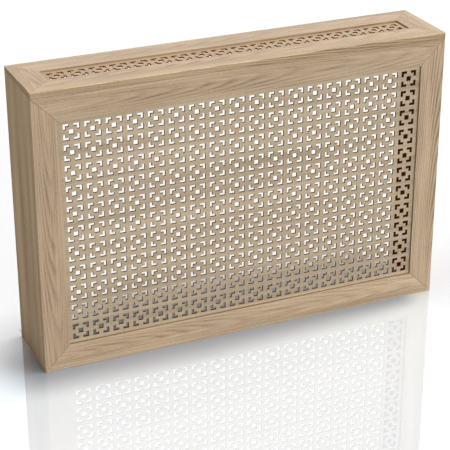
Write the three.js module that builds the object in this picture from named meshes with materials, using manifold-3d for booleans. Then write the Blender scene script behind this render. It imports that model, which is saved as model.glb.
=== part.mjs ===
// Radiator cover cabinet. A mitred front frame holds a fretwork panel, a mitred top board holds
// a fretwork strip, and two plain boards close the sides. The back and the underside are open.
// Millimetres. X runs along the cabinet, the front is at -Y, the wall is at +Y and Z is up.
// The origin is on the floor, under the middle of the cabinet.

import * as THREE from 'three';
import { mergeVertices } from 'three/addons/utils/BufferGeometryUtils.js';
import Module from 'manifold-3d';

const wasm = await Module();
wasm.setup();

// Overall size
const WIDTH = 900;
const DEPTH = 170;
const HEIGHT = 606;

// Boards
const FRAME_THICKNESS = 16;
const TOP_THICKNESS = 12;
const SIDE_THICKNESS = 12;
const FRAME_FACE = 54; // seen width of the rails and stiles of the front frame
const TOP_RAIL_FACE = 57; // seen width of the long members of the top board
const TOP_END_FACE = 54; // seen width of its short members
const MITRE_GAP = 0.3;
const SEAT_GAP = 0.2; // hairline between a piece and the one it is fastened to

// Fretwork panels, which stand in grooves of their frames
const PANEL_THICKNESS = 3;
const FRONT_RECESS = 5; // from the front frame's face to its panel's face
const TOP_RECESS = 4; // the same in the top board
const PANEL_ENTRY = 7; // width of the panel's edge that is hidden in the groove
const GROOVE_END_PLAY = 0.8; // beyond the panel's edge
const GROOVE_SIDE_PLAY = 0.2; // on each face of the panel

// The fretwork motif: four L-shaped slots round a square hole
const MOTIF_ARM = 12.6; // length of each arm of an L
const MOTIF_SLOT = 5.6; // width of the arm
const MOTIF_CROSS = 9.2; // bar between two L's
const MOTIF_CORE = 10.4; // side of the square hole
const MOTIF_BAR = 9.1; // bar between two motifs

// Biscuits in the mitres
const BISCUIT_LENGTH = 45;
const BISCUIT_WIDTH = 15;
const BISCUIT_THICKNESS = 4;
const BISCUIT_CLEARANCE = 0.2;
const BISCUIT_ARC_STEPS = 6;

// Angle brackets and their countersunk screws
const BRACKET_LEG = 28;
const BRACKET_WIDTH = 18;
const BRACKET_THICKNESS = 2;
const BRACKET_HOLE = 17; // from the bracket's heel to the middle of its hole
const SIDE_BRACKET_INSET = 110; // from the upper and lower end of a side board
const TOP_BRACKET_INSET = 250; // from the cabinet's ends
const SCREW_HEAD_RADIUS = 3.4;
const SCREW_HEAD_HEIGHT = 2;
const SCREW_HEAD_RIM = 0.4;
const SCREW_SHANK_RADIUS = 1.6;
const SCREW_TIP_HEIGHT = 3;
const SCREW_COVER = 2; // wood left beyond the screw's tip in the thinnest board
const SCREW_CLEARANCE = 0.2;
const SCREW_SIDES = 8;
const RECESS_LENGTH = 4;
const RECESS_WIDTH = 0.9;
const RECESS_DEPTH = 1.2;

// Finishes
const OAK = { color: 0xb9a284, roughness: 0.5, metalness: 0 };
const OAK_FRETWORK = { color: 0xc0ac92, roughness: 0.55, metalness: 0 };
const BEECH = { color: 0xc79a68, roughness: 0.8, metalness: 0 };
const ZINC = { color: 0xb4b6b8, roughness: 0.35, metalness: 1 };
const SCREW_STEEL = { color: 0xa9a79c, roughness: 0.3, metalness: 1 };

// Sizes that follow from the ones above
const UNDERSIDE = HEIGHT - TOP_THICKNESS; // height of the top board's lower face
const FRONT_HEIGHT = UNDERSIDE - SEAT_GAP;
const FRAME_BACK = FRAME_THICKNESS - DEPTH / 2; // y of the front frame's rear face
const SIDE_INNER = WIDTH / 2 - SIDE_THICKNESS; // x of the right side board's inner face
const MOTIF_SIZE = 2 * MOTIF_ARM + MOTIF_CROSS;
const MOTIF_PITCH = MOTIF_SIZE + MOTIF_BAR;
const GROOVE_DEPTH = PANEL_ENTRY + GROOVE_END_PLAY;
const THINNEST_BOARD = Math.min(FRAME_THICKNESS, TOP_THICKNESS, SIDE_THICKNESS);
const SCREW_LENGTH = BRACKET_THICKNESS + SEAT_GAP + THINNEST_BOARD - SCREW_COVER;

const QUARTER_TURN = Math.PI / 2;

// A closed solid from a closed three.js geometry. A lathe's flat triangles at its poles go.
function solid(geometry) {
  const bare = geometry.clone();
  bare.deleteAttribute('normal');
  bare.deleteAttribute('uv');
  const merged = mergeVertices(bare);
  const corners = merged.index.array;
  const triangles = [];
  for (let i = 0; i < corners.length; i += 3) {
    const [a, b, c] = [corners[i], corners[i + 1], corners[i + 2]];
    if (a !== b && b !== c && c !== a) triangles.push(a, b, c);
  }
  const mesh = new wasm.Mesh({
    numProp: 3,
    vertProperties: new Float32Array(merged.attributes.position.array),
    triVerts: new Uint32Array(triangles),
  });
  return new wasm.Manifold(mesh);
}

function geometryOf(body) {
  const { vertProperties, triVerts } = body.getMesh();
  const geometry = new THREE.BufferGeometry();
  geometry.setAttribute('position', new THREE.BufferAttribute(vertProperties, 3));
  geometry.setIndex(new THREE.BufferAttribute(triVerts, 1));
  return geometry;
}

function subtract(geometry, cutters) {
  return geometryOf(cutters.reduce((body, cutter) => body.subtract(solid(cutter)), solid(geometry)));
}

function add(parent, name, geometry, finish, position = [0, 0, 0], turn = 0) {
  const material = new THREE.MeshStandardMaterial({ ...finish, flatShading: true });
  const mesh = new THREE.Mesh(geometry, material);
  mesh.name = name;
  mesh.position.set(...position);
  mesh.rotation.z = turn;
  parent.add(mesh);
  return mesh;
}

// Cutters are given in the cabinet's frame, whichever group the mesh is in.
function cut(mesh, cutters) {
  mesh.updateWorldMatrix(true, false);
  const toMesh = mesh.matrixWorld.clone().invert();
  mesh.geometry = subtract(mesh.geometry, cutters.map((cutter) => cutter.clone().applyMatrix4(toMesh)));
}

function extrude(outline, thickness) {
  const settings = { depth: thickness, bevelEnabled: false, curveSegments: BISCUIT_ARC_STEPS };
  return new THREE.ExtrudeGeometry(outline, settings);
}

function outlineOf(points) {
  return new THREE.Shape(points.map(([x, y]) => new THREE.Vector2(x, y)));
}

function square(side, x, y) {
  const [left, right, bottom, top] = [x - side / 2, x + side / 2, y - side / 2, y + side / 2];
  return outlineOf([[left, bottom], [right, bottom], [right, top], [left, top]]);
}

// The motifs' middles along an opening, as many as fit, centred in it.
function motifLine(opening) {
  const count = Math.max(1, Math.floor(opening / MOTIF_PITCH));
  return Array.from({ length: count }, (_, i) => (i - (count - 1) / 2) * MOTIF_PITCH);
}

function motifPlaces(openingWidth, openingHeight) {
  return motifLine(openingHeight).flatMap((y) => motifLine(openingWidth).map((x) => [x, y]));
}

// The five holes of one motif.
function motifHoles([x, y]) {
  const tip = MOTIF_SIZE / 2;
  const inner = tip - MOTIF_SLOT;
  const end = tip - MOTIF_ARM;
  const ell = [[tip, tip], [end, tip], [end, inner], [inner, inner], [inner, end], [tip, end]];
  const signs = [[1, 1], [-1, 1], [-1, -1], [1, -1]];
  const ells = signs.map(([sx, sy]) => outlineOf(ell.map(([u, v]) => [x + sx * u, y + sy * v])));
  return [...ells, square(MOTIF_CORE, x, y)];
}

// One square window with the free area of a whole motif, for the large panel.
function plainWindow([x, y]) {
  const ellArea = MOTIF_ARM ** 2 - (MOTIF_ARM - MOTIF_SLOT) ** 2;
  const side = Math.sqrt(4 * ellArea + MOTIF_CORE ** 2);
  return [square(side, x, y)];
}

// A panel that stands in the groove round an opening, cut through by its pattern of holes.
function fretwork(openingWidth, openingHeight, holesAt) {
  const [width, height] = [openingWidth + 2 * PANEL_ENTRY, openingHeight + 2 * PANEL_ENTRY];
  const panel = new THREE.BoxGeometry(width, height, PANEL_THICKNESS);
  const holes = motifPlaces(openingWidth, openingHeight).flatMap(holesAt);
  const through = extrude(holes, 2 * PANEL_THICKNESS).translate(0, 0, -PANEL_THICKNESS);
  return subtract(panel, [through]);
}

// One member of a mitred frame: its outer edge lies on X, it grows towards +Y, its face is at Z = 0.
function mitredMember(length, face, mitreRun, thickness) {
  const saw = (MITRE_GAP / 2) * (Math.hypot(face, mitreRun) / face);
  const [outer, inner] = [length / 2 - saw, length / 2 - mitreRun - saw];
  const outline = outlineOf([[-outer, 0], [outer, 0], [inner, face], [-inner, face]]);
  return extrude(outline, thickness).translate(0, 0, -thickness);
}

// A flat biscuit with two arc edges, its middle at the origin, along X.
function biscuit(clearance) {
  const half = BISCUIT_LENGTH / 2 + clearance;
  const bulge = BISCUIT_WIDTH / 2 + clearance;
  const radius = (half ** 2 + bulge ** 2) / (2 * bulge);
  const angle = Math.asin(half / radius);
  const outline = new THREE.Shape();
  outline.absarc(0, bulge - radius, radius, QUARTER_TURN - angle, QUARTER_TURN + angle, false);
  outline.absarc(0, radius - bulge, radius, -QUARTER_TURN - angle, -QUARTER_TURN + angle, false);
  const thickness = BISCUIT_THICKNESS + 2 * clearance;
  return extrude(outline, thickness).translate(0, 0, -thickness / 2);
}

// Countersunk screw along -Y, the flat of its head at Y = 0. With a clearance it is the hole's cutter.
function screwBlank(clearance) {
  const profile = [
    [0, clearance],
    [SCREW_HEAD_RADIUS + clearance, clearance],
    [SCREW_HEAD_RADIUS + clearance, -SCREW_HEAD_RIM],
    [SCREW_SHANK_RADIUS + clearance, -SCREW_HEAD_HEIGHT],
    [SCREW_SHANK_RADIUS + clearance, SCREW_TIP_HEIGHT - SCREW_LENGTH],
    [0, -SCREW_LENGTH - clearance],
  ];
  return new THREE.LatheGeometry(profile.reverse().map(([x, y]) => new THREE.Vector2(x, y)), SCREW_SIDES);
}

function screw() {
  const bars = [[RECESS_LENGTH, RECESS_WIDTH], [RECESS_WIDTH, RECESS_LENGTH]].map(
    ([x, z]) => new THREE.BoxGeometry(x, 2 * RECESS_DEPTH, z),
  );
  return subtract(screwBlank(0), bars);
}

// Angle bracket with its heel at the origin, one leg along X and one along Y.
function bracketBlank() {
  const [leg, wall] = [BRACKET_LEG, BRACKET_THICKNESS];
  const outline = outlineOf([[0, 0], [leg, 0], [leg, wall], [wall, wall], [wall, leg], [0, leg]]);
  return extrude(outline, BRACKET_WIDTH).translate(0, 0, -BRACKET_WIDTH / 2);
}

// The screws' places in the bracket's own frame, one through each leg.
const SCREW_PLACES = [
  new THREE.Matrix4().makeTranslation(BRACKET_HOLE, BRACKET_THICKNESS, 0),
  new THREE.Matrix4().makeRotationZ(-QUARTER_TURN).setPosition(BRACKET_THICKNESS, BRACKET_HOLE, 0),
];

const X = new THREE.Vector3(1, 0, 0);
const Y = new THREE.Vector3(0, 1, 0);
const Z = new THREE.Vector3(0, 0, 1);

// A bracket's place: the corner that it fits in, and the directions of its two legs.
function bracketPlace(corner, firstLeg, secondLeg) {
  const away = firstLeg.clone().add(secondLeg);
  const heel = new THREE.Vector3(...corner).addScaledVector(away, SEAT_GAP);
  const across = new THREE.Vector3().crossVectors(firstLeg, secondLeg);
  return new THREE.Matrix4().makeBasis(firstLeg, secondLeg, across).setPosition(heel);
}

function bracketPlaces() {
  const down = Z.clone().negate();
  const places = new Map();
  for (const [side, sign] of [['left', -1], ['right', 1]]) {
    const inward = X.clone().multiplyScalar(-sign);
    const x = sign * SIDE_INNER;
    const heights = [['lower', SIDE_BRACKET_INSET], ['upper', FRONT_HEIGHT - SIDE_BRACKET_INSET]];
    for (const [level, z] of heights) {
      places.set(`bracket_${side}_${level}`, bracketPlace([x, FRAME_BACK, z], inward, Y));
    }
    const sideMiddle = (FRAME_BACK + DEPTH / 2) / 2;
    places.set(`bracket_${side}_top`, bracketPlace([x, sideMiddle, UNDERSIDE], inward, down));
    const railX = sign * (WIDTH / 2 - TOP_BRACKET_INSET);
    places.set(`bracket_rail_${side}`, bracketPlace([railX, FRAME_BACK, UNDERSIDE], Y, down));
  }
  return places;
}

// A grooved, mitred frame round a panel, face up at Z = 0, centred on the group's origin.
// It returns the boards, and the cutters for its groove and its biscuits in the cabinet's frame.
function mitredFrame(group, names, size, holesAt) {
  group.updateWorldMatrix(true, false);
  const { width, height, railFace, endFace, thickness, recess } = size;
  const [openingWidth, openingHeight] = [width - 2 * endFace, height - 2 * railFace];
  const rail = mitredMember(width, railFace, endFace, thickness);
  const end = mitredMember(height, endFace, railFace, thickness);
  const sides = [
    [names.bottom, rail, [0, -height / 2, 0]],
    [names.right, end, [width / 2, 0, 0]],
    [names.top, rail, [0, height / 2, 0]],
    [names.left, end, [-width / 2, 0, 0]],
  ];
  const boards = sides.map(([name, shape, at], turns) => (
    add(group, name, shape, OAK, at, turns * QUARTER_TURN)
  ));

  const panelMiddle = -recess - PANEL_THICKNESS / 2;
  const panel = fretwork(openingWidth, openingHeight, holesAt);
  add(group, names.grille, panel, OAK_FRETWORK, [0, 0, panelMiddle]);
  const groove = new THREE.BoxGeometry(
    openingWidth + 2 * GROOVE_DEPTH,
    openingHeight + 2 * GROOVE_DEPTH,
    PANEL_THICKNESS + 2 * GROOVE_SIDE_PLAY,
  ).translate(0, 0, panelMiddle);

  // Each biscuit lies in the middle of the length of mitre that the groove leaves.
  const solidShare = 1 - GROOVE_DEPTH / Math.min(railFace, endFace);
  const [cornerX, cornerY] = [(width - endFace * solidShare) / 2, (height - railFace * solidShare) / 2];
  const cutters = [groove];
  const corners = { bottom_left: [-1, -1], bottom_right: [1, -1], top_right: [1, 1], top_left: [-1, 1] };
  for (const [corner, [x, y]] of Object.entries(corners)) {
    const at = [x * cornerX, y * cornerY, -thickness / 2];
    const turn = Math.atan2(-y * railFace, -x * endFace);
    add(group, `${names.biscuit}_${corner}`, biscuit(0), BEECH, at, turn);
    cutters.push(biscuit(BISCUIT_CLEARANCE).rotateZ(turn).translate(...at));
  }
  return { boards, cutters: cutters.map((cutter) => cutter.applyMatrix4(group.matrixWorld)) };
}

const cabinet = new THREE.Group();

const frontGroup = new THREE.Group();
frontGroup.position.set(0, -DEPTH / 2, FRONT_HEIGHT / 2);
frontGroup.rotation.x = QUARTER_TURN;
const frontNames = {
  bottom: 'front_bottom_rail',
  right: 'front_right_stile',
  top: 'front_top_rail',
  left: 'front_left_stile',
  grille: 'front_grille',
  biscuit: 'front_biscuit',
};
const frontSize = {
  width: WIDTH,
  height: FRONT_HEIGHT,
  railFace: FRAME_FACE,
  endFace: FRAME_FACE,
  thickness: FRAME_THICKNESS,
  recess: FRONT_RECESS,
};

const topGroup = new THREE.Group();
topGroup.position.set(0, 0, HEIGHT);
const topNames = {
  bottom: 'top_front_rail',
  right: 'top_right_end',
  top: 'top_rear_rail',
  left: 'top_left_end',
  grille: 'top_grille',
  biscuit: 'top_biscuit',
};
const topSize = {
  width: WIDTH,
  height: DEPTH,
  railFace: TOP_RAIL_FACE,
  endFace: TOP_END_FACE,
  thickness: TOP_THICKNESS,
  recess: TOP_RECESS,
};
cabinet.add(frontGroup, topGroup);

const front = mitredFrame(frontGroup, frontNames, frontSize, plainWindow);
const top = mitredFrame(topGroup, topNames, topSize, motifHoles);

// Side boards stand behind the front frame and under the top board.
const sideDepth = DEPTH - FRAME_THICKNESS - SEAT_GAP;
const sideBoard = new THREE.BoxGeometry(SIDE_THICKNESS, sideDepth, FRONT_HEIGHT);
const sides = [['left_side_board', -1], ['right_side_board', 1]].map(([name, sign]) => {
  const at = [sign * (SIDE_INNER + SIDE_THICKNESS / 2), (DEPTH - sideDepth) / 2, FRONT_HEIGHT / 2];
  return add(cabinet, name, sideBoard, OAK, at);
});

const screwShape = screw();
const screwHoles = [];
for (const [name, place] of bracketPlaces()) {
  const group = new THREE.Group();
  group.applyMatrix4(place);
  cabinet.add(group);
  const bracket = add(group, name, bracketBlank(), ZINC);
  const holes = SCREW_PLACES.map((screwPlace) => (
    screwBlank(SCREW_CLEARANCE).applyMatrix4(screwPlace).applyMatrix4(place)
  ));
  cut(bracket, holes);
  screwHoles.push(...holes);
  SCREW_PLACES.forEach((screwPlace, i) => {
    add(group, `${name}_screw_${i + 1}`, screwShape, SCREW_STEEL).applyMatrix4(screwPlace);
  });
}

for (const board of [...front.boards, ...top.boards, ...sides]) {
  cut(board, [...front.cutters, ...top.cutters, ...screwHoles]);
}

export default cabinet;
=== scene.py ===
"""Radiator cover cabinet: the finish of every board, the full fretwork of both grilles, and the
bent brackets and screws of the inner corners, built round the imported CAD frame. Metres."""

import math

import bmesh
import bpy
from mathutils import Matrix, Vector


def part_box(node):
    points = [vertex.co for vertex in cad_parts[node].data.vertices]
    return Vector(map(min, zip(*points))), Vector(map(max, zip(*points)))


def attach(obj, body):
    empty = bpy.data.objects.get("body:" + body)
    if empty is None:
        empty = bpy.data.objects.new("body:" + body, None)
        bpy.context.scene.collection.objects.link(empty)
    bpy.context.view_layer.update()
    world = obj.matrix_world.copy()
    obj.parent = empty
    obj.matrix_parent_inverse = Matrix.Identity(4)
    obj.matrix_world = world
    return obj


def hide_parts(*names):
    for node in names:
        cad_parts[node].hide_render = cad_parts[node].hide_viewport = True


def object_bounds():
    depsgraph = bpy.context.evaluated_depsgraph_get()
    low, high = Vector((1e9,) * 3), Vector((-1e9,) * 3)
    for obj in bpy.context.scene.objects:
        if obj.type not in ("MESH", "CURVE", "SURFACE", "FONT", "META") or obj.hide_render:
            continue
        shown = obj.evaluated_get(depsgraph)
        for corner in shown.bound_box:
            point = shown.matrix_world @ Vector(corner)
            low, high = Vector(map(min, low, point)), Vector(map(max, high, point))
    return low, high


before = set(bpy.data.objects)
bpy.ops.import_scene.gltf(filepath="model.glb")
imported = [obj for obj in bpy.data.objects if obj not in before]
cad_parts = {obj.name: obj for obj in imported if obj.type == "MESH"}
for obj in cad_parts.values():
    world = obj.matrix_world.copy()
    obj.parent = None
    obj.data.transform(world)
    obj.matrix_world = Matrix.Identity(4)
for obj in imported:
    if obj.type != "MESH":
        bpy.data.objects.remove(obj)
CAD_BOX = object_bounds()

MM = 0.001
X, Y, Z = Vector((1, 0, 0)), Vector((0, 1, 0)), Vector((0, 0, 1))
BODY = "root"

# Board details, in metres
ARRIS = 0.5 * MM                # rounding of a front member's outer edge
TOP_ARRIS = 1.0 * MM            # the same on the top board, where the hand goes
INNER_ARRIS = 0.6 * MM          # rounding beside the grille
BACK_CHAMFER = 0.2 * MM
MITRE_CHAMFER = 0.35 * MM       # the small V along a mitre
ARC_STEPS = 4
SHARP_ANGLE = math.radians(30)  # edges that turn more are drawn sharp
GROOVE_DEPTH = 7.8 * MM
GROOVE_PLAY = 0.2 * MM

# Fretwork motif, the sizes of the CAD source
MOTIF_ARM = 12.6 * MM
MOTIF_SLOT = 5.6 * MM
MOTIF_CROSS = 9.2 * MM
MOTIF_CORE = 10.4 * MM
MOTIF_BAR = 9.1 * MM
MOTIF_SIZE = 2 * MOTIF_ARM + MOTIF_CROSS
MOTIF_PITCH = MOTIF_SIZE + MOTIF_BAR
CUT_EDGE = 0.12 * MM            # softened rim of each hole
CUT_DRAFT = 0.57 * MM           # each hole is narrower at the back, by this on each side
RIM_ANGLE = math.radians(60)    # edges that turn more are rims

# Hardware
BEND_RADIUS = 1.2 * MM
LEG_CORNER = 3.5 * MM
SCREW_HEAD_RADIUS = 3.4 * MM
SCREW_HEAD_HEIGHT = 2.0 * MM
SCREW_SHANK_RADIUS = 1.6 * MM
SCREW_TIP_HEIGHT = 3.0 * MM
SCREW_SIDES = 32
RECESS_REACH = 2.0 * MM
RECESS_WIDTH = 0.9 * MM
RECESS_DEPTH = 1.3 * MM
RECESS_TAPER = 0.45             # the recess's floor beside its mouth
SCREW_DOME = 0.25 * MM          # the softened edge of the head's flat
SCREW_HEAD_RIM = 0.3 * MM       # how deep the head's rim starts to taper
SCREW_POINT_SHARE = 0.35        # radius part way down the tip, beside the shank's
SCREW_POINT_DOWN = 0.25         # where that is, up from the point
SHANK_PLAY = 0.3 * MM           # round the shank in a bracket's hole
SINK_PLAY = 0.25 * MM           # round the head in its countersink
LEG_CORNER_STEPS = 5
SLOT_TURN = 0.4                 # turns each screw's recess another way, in radians
AT_TIP = 0.001 * MM             # how near a leg's tip an edge has to lie to be rounded

# Oak figure. The pith runs below the face and slowly dives, so the rings close to arches.
PITH_START = 14 * MM
PITH_DIVE = 0.050
PITH_SWING = 5 * MM
PITH_WANDER = 5 * MM
PITH_FAR_SIDE = 2.3             # how much closer the rings lie on the far side of the pith
RING_PITCH = 3.6 * MM
RING_TREMBLE = 0.7 * MM
# How dark a ring is along its width, as places and values
RING_PROFILE = ((0.0, 1.0), (0.16, 0.72), (0.45, 0.15), (0.72, 0.0), (0.92, 0.5), (1.0, 1.0))
FADED, BROKEN = 0.25, 0.45      # what is left of a ring where it fades and where fibres break it
CROWN_WIDTH, CROWN_SHARE = 12 * MM, 0.45     # where the arches close, the rings are faint
GROUND_VALUE = 0.62             # oak between its rings, from 0, dark, to 1, light
STREAK_SWING = 0.605
FIBRE_SWING = 0.275
PORE_DEPTH = 0.10

# Between which values of their noise the rings' fades, the rings' breaks and the pores set in
FADE_SPAN, BREAK_SPAN, PORE_SPAN = (0.34, 0.66), (0.38, 0.60), (0.60, 0.72)

# Noise layers of the grain: how fast they change along and across the board and below it, their
# octaves and their roughness. An offset keeps one apart from another that it would follow.
DRIFT = ((3.2, 0.0, 0.0), 1.0)
WANDER, WANDER_OFFSET = ((2.6, 5.0, 0.0), 1.0), (7.3, 1.9, 0.0)
TREMBLE = ((9.0, 130.0, 0.0), 3.0, 0.6)
FADES, FADE_OFFSET = ((5.0, 42.0, 0.0), 2.0), (2.0, 4.0, 0.0)
BREAKS = ((9.0, 520.0, 0.0), 3.0, 0.6)
STREAKS = ((3.5, 300.0, 0.0), 4.0, 0.62)
FIBRES = ((150.0, 640.0, 0.0), 2.0)
TONES, TONE_OFFSET = ((1.3, 34.0, 0.0), 2.0), (3.1, 5.7, 0.0)
DASHES = ((55.0, 1500.0, 0.0), 2.0)

# Noise layers of the other materials
FIBRE_MOTTLE = ((900.0, 900.0, 900.0), 5.0, 0.65)
FIBRE_CLOUDS = ((22.0, 22.0, 22.0), 3.0)
FIBRE_SPECKS = ((2600.0, 2600.0, 2600.0), 1.0)
BEECH_FLECKS = ((260.0, 900.0, 900.0), 3.0, 0.6)
PLATE_CLOUDS = ((160.0, 160.0, 160.0), 4.0, 0.6)
PLATE_BRUSH = ((3000.0, 300.0, 300.0), 2.0)
# Between which values these turn from dark to light, and specks set in
SHADE_SPAN, FLECK_SPAN, SPECK_SPAN = (0.32, 0.68), (0.35, 0.62), (0.66, 0.74)
CLOUD_SHARE, SPECK_SHARE = 0.45, 0.5    # how far clouds and specks darken bare fibre

# Each board's grain: the way its arches point along and lie across the board, a shift along it,
# the pith's place across it, from its middle towards the grille, how light the board is and how
# strong its rings are
GRAIN_OF = {
    "front_top_rail": (1, 1, 0.00, -9 * MM, 0.92, 0.66),
    "front_bottom_rail": (1, 1, 0.11, -4 * MM, 1.04, 0.60),
    "front_left_stile": (-1, -1, 0.05, -8 * MM, 0.90, 0.62),
    "front_right_stile": (1, 1, 0.02, -34 * MM, 1.02, 1.15),
    "top_front_rail": (1, -1, 0.06, -16 * MM, 1.06, 0.95),
    "top_rear_rail": (1, 1, 0.00, -7 * MM, 1.05, 0.80),
    "top_left_end": (1, 1, 0.41, -6 * MM, 0.97, 0.70),
    "top_right_end": (-1, 1, 0.17, -3 * MM, 1.07, 0.80),
    "left_side_board": (1, 1, 0.10, 70 * MM, 0.92, 0.30),
    "right_side_board": (-1, 1, 0.02, 10 * MM, 0.95, 0.30),
}
# How strong the light and dark bands along a board are
FRAME_BANDS, SIDE_BANDS = 0.35, 0.45
# Each fretwork panel's place in the grain, and both panels' figure and bands
FRONT_PANEL_SHIFT, TOP_PANEL_SHIFT = (1.2, 0.4, 0.0), (1.7, 0.3, 0.0)
PANEL_FIGURE, PANEL_BANDS = 0.15, 0.5
# Gloss, and how light the outer edges, the inner edges and the arrises are beside the face, which is
# painted
# light and shade: on the front the inner edges and the sill are darker, as painted shade in the recess;
# on the top the outer edges are darker, painted shade, and the arrises lighter, a painted highlight.
# The sill is the lower member's inner edge.
FRONT_GLOSS, FRONT_EDGE_PAINTED_SHADE, FRONT_SILL_PAINTED_SHADE = 0.3, (1.0, 0.5, 1.0), 0.55
TOP_GLOSS, TOP_EDGE_PAINTED_LIGHT_AND_SHADE, TOP_SILL_PAINTED_SHADE = 0.65, (0.86, 1.0, 1.25), 1.0
PANEL_GLOSS = 0.3


# ---------------------------------------------------------------- materials

def srgb(red, green, blue):
    """A linear colour from 8-bit screen values."""
    def linear(value):
        value /= 255
        return value / 12.92 if value <= 0.04045 else ((value + 0.055) / 1.055) ** 2.4
    return (linear(red), linear(green), linear(blue), 1.0)


# Oak as dark grain, ground and light grain, and where these stand in the grain's value
OAK_PLACES = (0.0, 0.55, 1.0)
OAK = (srgb(128, 103, 77), srgb(174, 150, 121), srgb(199, 176, 147))
OAK_PANEL = (srgb(122, 103, 77), srgb(165, 146, 119), srgb(183, 166, 139))
OAK_TOP_PANEL = (srgb(122, 102, 75), srgb(165, 144, 115), srgb(183, 164, 134))
# The floor lights the front panel's lower part, but not its margin just above the rail. Its colour
# evens this out with painted light on the margin and painted shade over the lower part: how light it is
# written, and up to what height above the rail
MARGIN_PAINTED_LIGHT, MARGIN_HEIGHT = 1.85, 9 * MM
LOW_PAINTED_SHADE, LOW_HEIGHT = 0.91, 190 * MM
# Light and dark shades. A groove shows the core, the grilles' cuts show it in two other shades, and the
# backs are bare fibre. The front grille's cuts are written much darker than the top grille's, as
# painted shade in its holes.
CORE_SHADES = (srgb(200, 112, 55), srgb(160, 80, 36))
TOP_CUT_SHADES = (srgb(172, 84, 27), srgb(112, 50, 11))
FRONT_CUT_PAINTED_SHADE_TONES = (srgb(122, 50, 16), srgb(78, 28, 6))
FIBRE_SHADES = (srgb(94, 42, 14), srgb(60, 22, 5))
BEECH_SHADES = (srgb(205, 165, 120), srgb(170, 122, 78))
ZINC_SHADES = (srgb(205, 207, 208), srgb(150, 153, 156))
STEEL_SHADES = (srgb(198, 192, 172), srgb(138, 132, 116))
# The height of a bump, how strongly it shows, and how high the grain's light ground stands in it
OAK_BUMP, FIBRE_BUMP, PLATE_BUMP = 0.12 * MM, 0.2 * MM, 0.04 * MM
BUMP_STRENGTH = 0.6
GRAIN_RELIEF = 0.4
# Roughness, and how much more of it there is where the grain, the mottle or the brushing is light
OAK_ROUGHNESS, OAK_ROUGHER = 0.42, 0.08
FIBRE_ROUGHNESS, FIBRE_ROUGHER = 0.80, 0.1
BEECH_ROUGHNESS = 0.8
ZINC_ROUGHNESS, STEEL_ROUGHNESS, PLATE_ROUGHER = 0.28, 0.20, 0.2
FIBRE_GLOSS = 0.05


def stops(span, dark, light):
    """Ramp stops from dark to light over a span."""
    return list(zip(span, (dark, light)))


def grey(span):
    """Ramp stops from black to white over a span."""
    return stops(span, (0, 0, 0), (1, 1, 1))


class Nodes:
    """A short way to write a node tree."""

    def __init__(self, tree):
        self.tree = tree

    def add(self, kind, inputs=(), **settings):
        node = self.tree.nodes.new(kind)
        for name, value in settings.items():
            setattr(node, name, value)
        for key, value in dict(inputs).items():
            if isinstance(value, bpy.types.NodeSocket):
                self.tree.links.new(value, node.inputs[key])
            else:
                node.inputs[key].default_value = value
        return node

    def math(self, operation, a, b=0.0, c=0.0):
        return self.add("ShaderNodeMath", {0: a, 1: b, 2: c}, operation=operation).outputs[0]

    def vector(self, operation, a, b):
        return self.add("ShaderNodeVectorMath", {0: a, 1: b}, operation=operation).outputs[0]

    def noise(self, place, scale, detail, rough=0.5):
        """Noise of the place, first stretched by scale. It has one value, from 0 to 1."""
        stretched = self.vector("MULTIPLY", place, scale)
        inputs = {"Vector": stretched, "Scale": 1.0, "Detail": detail, "Roughness": rough}
        return self.add("ShaderNodeTexNoise", inputs).outputs[0]

    def between(self, value, start, end, low=0.0, high=1.0, smooth=True):
        """From low to high as the value goes from start to end, and level beyond. smooth eases
        both ends."""
        inputs = {"Value": value, "From Min": start, "From Max": end, "To Min": low, "To Max": high}
        kind = "SMOOTHSTEP" if smooth else "LINEAR"
        return self.add("ShaderNodeMapRange", inputs, interpolation_type=kind).outputs[0]

    def ramp(self, factor, places):
        """A colour ramp through pairs of a place and a colour."""
        node = self.add("ShaderNodeValToRGB", {0: factor})
        elements = node.color_ramp.elements
        while len(elements) < len(places):
            elements.new(0.5)
        for element, (place, value) in zip(elements, places):
            element.position = place
            element.color = (*value[:3], 1.0)
        return node.outputs[0]

    def mix(self, factor, a, b, blend="MIX"):
        """Two colours mixed by the factor."""
        node = self.add("ShaderNodeMix", data_type="RGBA", blend_type=blend)
        for socket, value in ((node.inputs[0], factor), (node.inputs[6], a), (node.inputs[7], b)):
            if isinstance(value, bpy.types.NodeSocket):
                self.tree.links.new(value, socket)
            else:
                socket.default_value = value
        return node.outputs[2]

    def object_place(self):
        """The object's own coordinates."""
        return self.add("ShaderNodeTexCoord").outputs["Object"]


def new_material(name):
    """An empty material and its nodes."""
    material = bpy.data.materials.new(name)
    material.use_nodes = True
    material.node_tree.nodes.clear()
    return material, Nodes(material.node_tree)


def surface(nodes, colour, roughness, height, bump, **constants):
    """The principled surface with a bump of this height; constants are its own sockets."""
    shape = {"Height": height, "Strength": BUMP_STRENGTH, "Distance": bump}
    relief = nodes.add("ShaderNodeBump", shape)
    inputs = {"Base Color": colour, "Roughness": roughness, "Normal": relief.outputs[0]}
    inputs.update({name.replace("_", " "): value for name, value in constants.items()})
    shader = nodes.add("ShaderNodeBsdfPrincipled", inputs)
    nodes.add("ShaderNodeOutputMaterial", {"Surface": shader.outputs[0]})


def wood_place(nodes, along, across, offset):
    """Object place turned so that X runs along the grain, and Y across it and on round the edges."""
    place = nodes.object_place()
    def component(direction):
        inputs = {0: place, 1: direction}
        return nodes.add("ShaderNodeVectorMath", inputs, operation="DOT_PRODUCT").outputs["Value"]
    turned = nodes.add("ShaderNodeCombineXYZ", {0: component(along), 1: component(across)}).outputs[0]
    return nodes.vector("ADD", turned, offset)


def centred(nodes, noise, size):
    """A noise value turned into a swing of size to either side of nought."""
    return nodes.math("MULTIPLY_ADD", noise, 2 * size, -size)


def shifted_noise(nodes, place, offset, layer):
    """A noise layer of the place moved by an offset."""
    return nodes.noise(nodes.vector("ADD", place, offset), *layer)


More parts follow.
